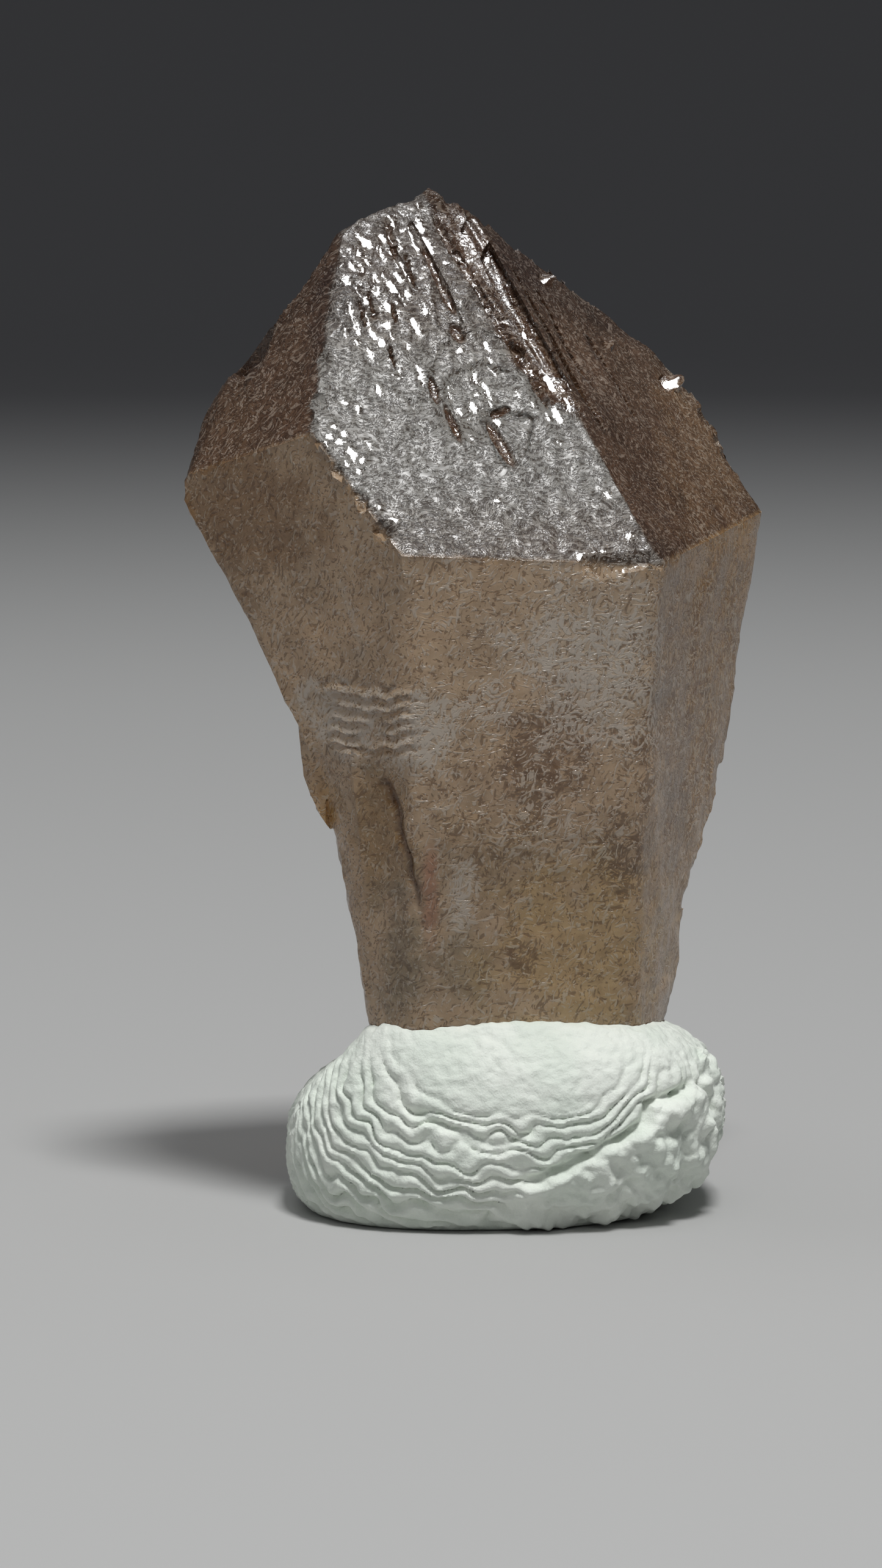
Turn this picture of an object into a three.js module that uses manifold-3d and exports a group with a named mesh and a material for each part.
// An elestial smoky quartz crystal, standing in a wad of mounting putty.
// Millimetres, +Z up. The front faces -Y, and the origin is under the middle of the object,
// on the surface it stands on.
import * as THREE from 'three';
import { mergeVertices } from 'three/addons/utils/BufferGeometryUtils.js';
import Module from 'manifold-3d';

const wasm = await Module();
wasm.setup();

// ---------- driving dimensions ----------

const SPAN = 50; // the block that a crystal is cut from
const REACH = 150; // each block that cuts it
const RHOMB = 38; // quartz's six end faces rise at about 38 degrees
const CLEARANCE = 0.3; // between the crystal's foot and the putty's socket
const FOOT = 3.0; // height of the crystal's broken foot, inside the putty
const WAIST = 14.9; // below this height the front tapers faster
const BITE = 1.0; // how far a tool reaches past the face that it cuts or is set on
const EDGE_TILT = 17.8; // degrees between an end face's fall line and the edge it shares with the next one

// Corners where the end faces meet the sides.
const INNER_LEFT = [-5.2, -4.95, 25.7];
const FRONT_RIGHT = [5.9, -5.7, 21.6];
const LEFT_SHOULDER = [-9.39, -1.11, 23.85];
const RIGHT_SHOULDER = [9.66, 5.3, 22.4];
const BACK_SHOULDER = [7.2, 7.75, 26.5];
const TIP = [-0.92, 1.54, 33.16];
const LEFT_TIP = [-3.41, 0.89, 32.49];

// Where the stem's left column stands back behind the head's ledge.
const LEDGE = [-3.4, -5.3, 15.1];
const LEDGE_LEFT = [-5.75, -3.4, 17];
const SEAM = [-2.0, -6.3, 13.5];
const STEM_LEFT_FRONT = [-2.2, -5.3, 13.5];
const STEM_LEFT_SIDE = [-4.6, -3.3, 12.9];

// The putty: a squashed pad.
const PUTTY_MIDDLE = [1.05, 0, 2.6];
const PUTTY_HALF = [7.25, 6.4, 3.7];
const PUTTY_SQUARENESS = 2.45; // 2 is an ellipsoid, more is boxier
const PUTTY_SEGMENTS = [56, 34];
const PUTTY_LEAN = 0.1; // rise for each millimetre to the right
const PUTTY_SLOPE = 0.13; // fall of its top for each millimetre to the back
const COLLAR_MIDDLE = [-1.4, -4.0]; // the putty is pushed up in front of the crystal
const COLLAR_HALF = [4.4, 1.7];
const COLLAR_HEIGHT = 1.15;

// ---------- solids ----------

// A closed three.js geometry as a solid that can be joined and cut.
function solidFrom(geometry) {
  const bare = geometry.clone();
  bare.deleteAttribute('normal');
  bare.deleteAttribute('uv');
  const merged = mergeVertices(bare, 1e-4);
  return new wasm.Manifold(
    new wasm.Mesh({
      numProp: 3,
      vertProperties: Float32Array.from(merged.attributes.position.array),
      triVerts: Uint32Array.from(merged.index.array),
    }),
  );
}

function geometryFrom(solid) {
  const mesh = solid.getMesh();
  const geometry = new THREE.BufferGeometry();
  geometry.setAttribute('position', new THREE.BufferAttribute(mesh.vertProperties, 3));
  geometry.setIndex(new THREE.BufferAttribute(mesh.triVerts, 1));
  const flat = geometry.toNonIndexed();
  flat.computeVertexNormals();
  return flat;
}

const joined = (body, tools) => tools.reduce((whole, tool) => whole.add(tool), body);
const cut = (body, tools) => tools.reduce((rest, tool) => rest.subtract(tool), body);

// ---------- crystal faces ----------

// Which way a face looks: azimuth turns from the front towards +X, rise lifts it above the horizontal.
function outward(azimuth, rise) {
  const turn = THREE.MathUtils.degToRad(azimuth);
  const lift = THREE.MathUtils.degToRad(rise);
  return new THREE.Vector3(
    Math.sin(turn) * Math.cos(lift),
    -Math.cos(turn) * Math.cos(lift),
    Math.sin(lift),
  );
}

// A face is a flat plane through a point.
function face(azimuth, rise, through) {
  return { azimuth, rise, through };
}

// The same face, moved out by some millimetres, or in where that is negative.
function moved({ azimuth, rise, through }, out) {
  const shift = outward(azimuth, rise).multiplyScalar(out);
  return face(azimuth, rise, new THREE.Vector3(...through).add(shift).toArray());
}

// A block that fills everything outside a face.
function outside({ azimuth, rise, through }) {
  const up = new THREE.Vector3(0, 0, 1);
  const block = new THREE.BoxGeometry(REACH, REACH, REACH);
  block.translate(0, 0, REACH / 2);
  block.applyQuaternion(new THREE.Quaternion().setFromUnitVectors(up, outward(azimuth, rise)));
  block.translate(...through);
  return solidFrom(block);
}

// The convex body that a list of faces encloses.
function enclosed(faces) {
  const whole = new THREE.BoxGeometry(SPAN, SPAN, SPAN);
  whole.translate(0, 0, SPAN / 3);
  return cut(solidFrom(whole), faces.map(outside));
}

// The wedge that lies outside all of a list of faces.
function beyond(faces) {
  return faces.map(outside).reduce((wedge, block) => wedge.intersect(block));
}

// A flat-ended prism on a face. Its outline is in the face's own millimetres, across to the right and up
// from the face's point, and it runs from low to high along the face's outward normal.
function prismOn({ azimuth, rise, through }, outline, low, high) {
  const shape = new THREE.Shape(outline.map(([across, up]) => new THREE.Vector2(across, up)));
  const prism = new THREE.ExtrudeGeometry(shape, { depth: high - low, bevelEnabled: false });
  prism.translate(0, 0, low);
  const normal = outward(azimuth, rise);
  const across = outward(azimuth + 90, 0);
  const up = new THREE.Vector3().crossVectors(normal, across);
  const placing = new THREE.Matrix4().makeBasis(across, up, normal);
  prism.applyMatrix4(placing.setPosition(...through));
  return solidFrom(prism);
}

const pocket = (host, outline, depth) => prismOn(host, outline, -depth, BITE);
const plate = (host, outline, height) => prismOn(host, outline, -BITE, height);

// A strip beside the edge that two neighbouring end faces share. It starts some millimetres in from the
// edge, and its ends are slanted. Side is -1 where the face lies to the left of the edge, and 1 to the right.
function edgeStrip(side, inset, width, from, to) {
  const tilt = THREE.MathUtils.degToRad(EDGE_TILT);
  const along = new THREE.Vector2(side * Math.sin(tilt), Math.cos(tilt));
  const inward = new THREE.Vector2(side * Math.cos(tilt), -Math.sin(tilt));
  const corner = (run, depth) => [
    along.x * run + inward.x * depth,
    along.y * run + inward.y * depth,
  ];
  const outline = [
    corner(from, inset),
    corner(from + width, inset + width),
    corner(to - width, inset + width),
    corner(to, inset),
  ];
  return side > 0 ? outline : outline.reverse();
}

// A long thin outline from one point to another, pointed at both ends.
function sliver(start, end, width) {
  const [from, to] = [new THREE.Vector2(...start), new THREE.Vector2(...end)];
  const along = to.clone().sub(from).normalize();
  const side = new THREE.Vector2(-along.y, along.x).multiplyScalar(width / 2);
  const [near, far] = [0.15, 0.8].map((share) => from.clone().lerp(to, share));
  const corners = [
    from, near.clone().sub(side), far.clone().sub(side), to, far.clone().add(side), near.clone().add(side),
  ];
  return corners.map((corner) => corner.toArray());
}

// Where the edge that two faces share passes a height.
function meeting(one, other, height) {
  const [a, b] = [one, other].map(({ azimuth, rise, through }) => {
    const normal = outward(azimuth, rise);
    return { normal, reach: normal.dot(new THREE.Vector3(...through)) - normal.z * height };
  });
  const spread = a.normal.x * b.normal.y - a.normal.y * b.normal.x;
  const x = (a.reach * b.normal.y - b.reach * a.normal.y) / spread;
  const y = (a.normal.x * b.reach - b.normal.x * a.reach) / spread;
  return [x, y, height];
}

// A small faceted lump. Cut away, it leaves a chip.
function lump(at, radius, turn) {
  const stone = new THREE.IcosahedronGeometry(radius, 0);
  stone.rotateX(turn);
  stone.rotateZ(2 * turn);
  stone.translate(...at);
  return solidFrom(stone);
}

// Lumps along a line, uneven in size, spacing and depth. The unevenness is a fixed sequence,
// and they wander less than their radius, so each one reaches the surface.
function lumpsAlong(start, end, count, radius, scatter) {
  const line = new THREE.Line3(new THREE.Vector3(...start), new THREE.Vector3(...end));
  return Array.from({ length: count }, (_, i) => {
    const wander = (step) => Math.sin((i + 1) * step) * scatter;
    const at = line.at((i + 0.5 + 0.4 * Math.sin(i * 2.3)) / count, new THREE.Vector3());
    at.add(new THREE.Vector3(wander(4.1), wander(5.7), wander(7.9)));
    return lump(at.toArray(), radius * (1 + 0.3 * Math.sin(i * 3.7)), i);
  });
}

// ---------- the crystal's main faces ----------

const endFront = face(13, RHOMB, FRONT_RIGHT);
const endLeft = face(-54, 31.5, INNER_LEFT);
const endRight = face(68, RHOMB, FRONT_RIGHT);
const endBack = face(193, RHOMB, TIP);
const endLeftBack = face(-103, 39, [-4.67, 0.19, 31.33]);
const endRightBack = face(130, 50, [4.4, 6.12, 29.04]);
const leftTip = face(225, 36, LEFT_TIP);
const shoulderLeft = face(-88, 24, LEFT_SHOULDER);
const shoulderRight = face(108, 22, RIGHT_SHOULDER);
const sideFront = face(10.5, -4.5, FRONT_RIGHT);
const sideFrontLow = face(10.5, -13, [1.3, -6.3, WAIST]);
const sideLeft = face(-43, -4.5, INNER_LEFT);
const sideRight = face(71.4, -4.5, FRONT_RIGHT);
const sideRightBack = face(128, -16, RIGHT_SHOULDER);
const sideLeftEdge = face(-92, -4, LEFT_SHOULDER);
const sideLeftBack = face(-97, -29.7, [-9.3, -1.0, 23.15]);
const sideBack = face(191, -9, BACK_SHOULDER);
const foot = face(0, -90, [0, 0, FOOT]);

const END_FACES = [
  endFront, endLeft, endRight, endBack, endLeftBack, endRightBack, leftTip, shoulderLeft, shoulderRight,
];
const SIDE_FACES = [sideFront, sideFrontLow, sideRight, sideRightBack, sideBack, foot];

// ---------- the stem's left column, and the ledge over it ----------

const ledgeUnder = face(227, -81, LEDGE);
const seam = face(-70, -3, SEAM);
const seamInside = moved(face(110, 3, SEAM), 0.3);

const stemLeftSide = face(-88, -12, STEM_LEFT_SIDE);
const stemLeftBack = face(-130, -12, [-4.0, 1.6, 12.9]);
const stemTop = face(0, 90, [0, 0, 17]);

const LEDGE_BLOCK = [
  face(-92, -5, LEDGE_LEFT),
  face(-92, -27, [-5.5, -3.3, 14.5]),
  moved(sideLeft, -0.2),
  face(60, 0, [-4.9, -3.9, 15]),
  face(-140, -14, [-5.2, 2.5, 17]),
  moved(sideBack, -0.6),
  face(0, 90, [0, 0, 19]),
  face(0, -90, [0, 0, 12]),
];

const STEM_LEFT_FACES = [seam, stemLeftSide, stemLeftBack, stemTop];

const STEM_LEFT = [
  face(-12, -9, STEM_LEFT_FRONT),
  face(-55, -9, [-4.2, -4.2, 13.0]),
  stemLeftSide,
  stemLeftBack,
  moved(sideBack, -1.1),
  seamInside,
  stemTop,
  foot,
];

// The stem is also set in at the back and at the right, each under a ledge of its own.
const backLedgeUnder = face(40, -78, [4.5, 6.4, 15.4]);
const backStep = moved(sideBack, -0.9);
const rightLedgeUnder = face(112, -30, meeting(sideRight, sideRightBack, 14.4));
const rightStep = face(118, -15, [7.45, 1.2, 12.5]);

// What encloses the main stem where it stands in the putty.
const STEM_FOOT = [
  sideFront, sideFrontLow, sideRight, rightStep, sideRightBack, backStep, foot, ...STEM_LEFT_FACES,
];

function mainBody() {
  const overhung = enclosed(STEM_LEFT_FACES);
  const leftOfHead = joined(outside(sideLeft), [outside(sideLeftEdge), outside(sideLeftBack)]);
  const body = cut(enclosed([...END_FACES, ...SIDE_FACES]), [
    cut(leftOfHead, [overhung]),
    beyond([seam, ledgeUnder]),
    beyond([backStep, backLedgeUnder]),
    beyond([rightStep, rightLedgeUnder]),
  ]);
  return joined(body, [enclosed(LEDGE_BLOCK), enclosed(STEM_LEFT)]);
}

// ---------- growth and etching on the faces ----------

// The stack of thin growth layers on the left side, over the ledge: a shelf, and the gaps between layers.
function ledgeLayers() {
  const depth = 0.35;
  const gaps = [[-9.45, 0.1], [-9.72, 0.0], [-10.0, -0.1]];
  const gap = ([up, start]) => [
    [start, up],
    [1.2 + start, up - 0.06],
    [3.2, up - 0.16],
    [3.3, up - 0.02],
    [1.4 + start, up + 0.08],
    [start, up + 0.12],
  ];
  const shelf = [[-0.1, -8.3], [1.2, -9.15], [3.0, -9.1], [3.4, -8.0], [2.5, -8.25], [0.8, -8.15]];
  return [shelf, ...gaps.map(gap)].map((outline) => pocket(sideLeft, outline, depth));
}

// The steps where the front end face breaks off towards the right one.
function edgeSteps() {
  return [
    pocket(endFront, edgeStrip(-1, -0.6, 1.05, 5.9, 14.9), 0.4),
    pocket(endFront, edgeStrip(-1, -0.6, 0.75, 7.4, 13.6), 0.85),
    pocket(endFront, edgeStrip(-1, 0.8, 0.2, 9.0, 13.4), 0.25),
    pocket(endFront, edgeStrip(-1, 1.75, 0.28, 11.9, 14.9), 0.5),
    pocket(endFront, edgeStrip(-1, 2.75, 0.25, 12.2, 14.2), 0.35),
    pocket(endRight, edgeStrip(1, 1.3, 0.25, 5.6, 12.6), 0.3),
    pocket(endRight, edgeStrip(1, 2.3, 0.2, 7.6, 12.0), 0.25),
    pocket(endRight, edgeStrip(1, 4.4, 0.22, 6.9, 10.6), 0.25),
  ];
}

// The stepped hollow in the middle of the front end face, with a deeper corner.
function frontHollow() {
  const basin = [
    [-6.0, 8.6], [-6.6, 7.1], [-6.65, 6.5], [-5.9, 5.0], [-5.25, 4.6],
    [-4.6, 4.75], [-3.1, 5.8], [-2.4, 6.3], [-2.9, 8.2], [-4.6, 9.3],
  ];
  const floor = [[-5.9, 7.4], [-6.1, 6.5], [-5.5, 5.3], [-4.9, 5.0], [-3.6, 5.9], [-3.3, 7.3], [-4.7, 8.0]];
  const corner = [[-4.8, 6.2], [-4.75, 4.6], [-4.32, 3.5], [-3.7, 4.35], [-3.2, 5.9]];
  const upper = [[-6.0, 11.6], [-5.95, 9.4], [-5.5, 8.6], [-5.0, 9.3], [-5.4, 11.0]];
  return [
    pocket(endFront, basin, 0.3),
    pocket(endFront, floor, 0.6),
    pocket(endFront, corner, 0.95),
    pocket(endFront, upper, 0.35),
  ];
}

// Hollows in the end faces at the back: each is a flight of steps down to a smaller floor.
function backHollows() {
  const rise = 0.3;
  const narrowing = 0.28;
  const flight = (host, [across, up], size, steps) => Array.from({ length: steps }, (_, i) => {
    const half = size * (1 - narrowing * i);
    const outline = [
      [across - half, up - half * 0.5],
      [across + half * 0.9, up - half * 0.62],
      [across + half * 0.42, up + half * 0.8],
      [across - half * 0.3, up + half],
    ];
    return pocket(host, outline, rise * (i + 1));
  });
  return [
    ...flight(endBack, [-3.0, -5.0], 2.2, 3),
    ...flight(endRightBack, [1.4, -2.2], 1.1, 2),
    ...flight(endLeftBack, [0.6, -4.6], 1.5, 3),
  ];
}

// Low plates of later growth on the sides at the back.
function growthPlates() {
  return [
    plate(sideBack, [[2.0, -2.2], [8.6, -3.1], [9.4, -8.2], [5.2, -9.6], [2.6, -7.0]], 0.3),
    plate(sideBack, [[3.2, -3.6], [7.2, -4.0], [7.7, -7.2], [4.6, -7.6]], 0.55),
    plate(moved(sideBack, -0.9), [[4.2, -12.4], [9.6, -12.8], [8.6, -16.4], [5.4, -17.2]], 0.3),
  ];
}

// A small bevel under the lower right corner of the front end face.
const cornerBevel = beyond([face(14, 8, [4.6, -5.87, 20.6]), face(60, 0, [3.3, -6.2, 21])]);

// Slender etch pits on the front end face, which lean as its right edge does. They stand in rows.
function frontPits() {
  const count = 22;
  const perRow = 6;
  const width = 0.26;
  return Array.from({ length: count }, (_, i) => {
    const across = -9.2 + 0.55 * (i % perRow) + 0.25 * Math.sin(i * 2.9);
    const up = 4.6 + 2.3 * Math.floor(i / perRow) + 0.9 * Math.sin(i * 1.7);
    const length = 0.8 + 0.3 * Math.sin(i * 4.3);
    const depth = 0.16 + 0.06 * Math.sin(i * 5.1);
    const top = [across - 0.25 * length, up + length];
    return pocket(endFront, sliver([across, up], top, width), depth);
  });
}

// Small three-sided pits, low on the front.
function sidePits() {
  const count = 14;
  const depth = 0.2;
  return Array.from({ length: count }, (_, i) => {
    const across = -7.4 + 0.52 * i + 0.3 * Math.sin(i * 2.1);
    const up = -7.6 + 1.9 * Math.sin(i * 2.7);
    const size = 0.3 + 0.1 * Math.sin(i * 3.9);
    const outline = [[across - size, up], [across + size * 0.8, up - size * 0.5], [across, up + size]];
    return pocket(sideFront, outline, depth);
  });
}

// Where edges are rough or chipped.
function chippedEdges() {
  const leftEdge = (height) => meeting(endFront, endLeft, height);
  const lowerLeftEdge = (height) => meeting(endFront, sideLeft, height);
  const backEdge = (height) => meeting(endRight, endBack, height);
  const shoulderEdge = (height) => meeting(endRight, shoulderRight, height);
  return [
    ...lumpsAlong(leftEdge(31.2), leftEdge(25.8), 12, 0.3, 0.1),
    ...lumpsAlong(lowerLeftEdge(25.5), lowerLeftEdge(22.5), 8, 0.3, 0.12),
    ...lumpsAlong([3.6, -6.1, 21.0], [5.8, -5.6, 21.1], 6, 0.26, 0.1),
    ...lumpsAlong(backEdge(32.4), backEdge(29.6), 6, 0.3, 0.1),
    ...lumpsAlong(shoulderEdge(26.6), shoulderEdge(23.4), 6, 0.36, 0.12),
    lump(meeting(sideRight, sideRightBack, 13.9), 0.4, 1),
    lump(meeting(sideRight, rightStep, 10.0), 0.35, 2),
  ];
}

function crystal() {
  const knob = lump([-1.45, 1.75, 32.75], 0.62, 0.4);
  const grown = joined(mainBody(), [...growthPlates(), knob]);
  return cut(grown, [
    ...ledgeLayers(), ...edgeSteps(), ...frontHollow(), ...frontPits(), ...sidePits(), ...backHollows(),
    cornerBevel, ...chippedEdges(),
  ]);
}

// ---------- the object ----------

// An ellipsoid made boxier, which leans to the left and is pushed up in front of the crystal.
function puttyPad() {
  const pad = new THREE.SphereGeometry(1, ...PUTTY_SEGMENTS);
  pad.rotateX(Math.PI / 2);
  const places = pad.attributes.position;
  for (let i = 0; i < places.count; i += 1) {
    const way = [places.getX(i), places.getY(i), places.getZ(i)];
    const sum = way.reduce((total, part) => total + Math.abs(part) ** PUTTY_SQUARENESS, 0);
    const stretch = sum ** (-1 / PUTTY_SQUARENESS);
    const [x, y, z] = way.map((part, axis) => PUTTY_MIDDLE[axis] + part * stretch * PUTTY_HALF[axis]);
    const [right, back] = [x, y].map((place, axis) => (place - COLLAR_MIDDLE[axis]) / COLLAR_HALF[axis]);
    const collar = COLLAR_HEIGHT * Math.exp(-(right ** 2) - back ** 2);
    const top = THREE.MathUtils.smoothstep(way[2], 0, 0.5) * (collar - PUTTY_SLOPE * y);
    places.setXYZ(i, x, y, z + PUTTY_LEAN * (x - PUTTY_MIDDLE[0]) + top);
  }
  return solidFrom(pad);
}

// The pad with a flat underside and a socket that clears the crystal's foot all round.
function putty() {
  const wider = (faces) => enclosed(faces.map((one) => moved(one, CLEARANCE)));
  const floor = outside(face(0, -90, [0, 0, 0]));
  return cut(puttyPad(), [floor, wider(STEM_FOOT), wider(STEM_LEFT)]);
}

function piece(name, solid, material) {
  const mesh = new THREE.Mesh(geometryFrom(solid), material);
  mesh.name = name;
  return mesh;
}

const quartz = new THREE.MeshStandardMaterial({ color: 0x6f6051, roughness: 0.35, metalness: 0 });
const puttyWhite = new THREE.MeshStandardMaterial({ color: 0xc3cbc3, roughness: 0.9, metalness: 0 });

const specimen = new THREE.Group();
specimen.add(piece('quartz_crystal', crystal(), quartz));
specimen.add(piece('mounting_putty', putty(), puttyWhite));

export default specimen;
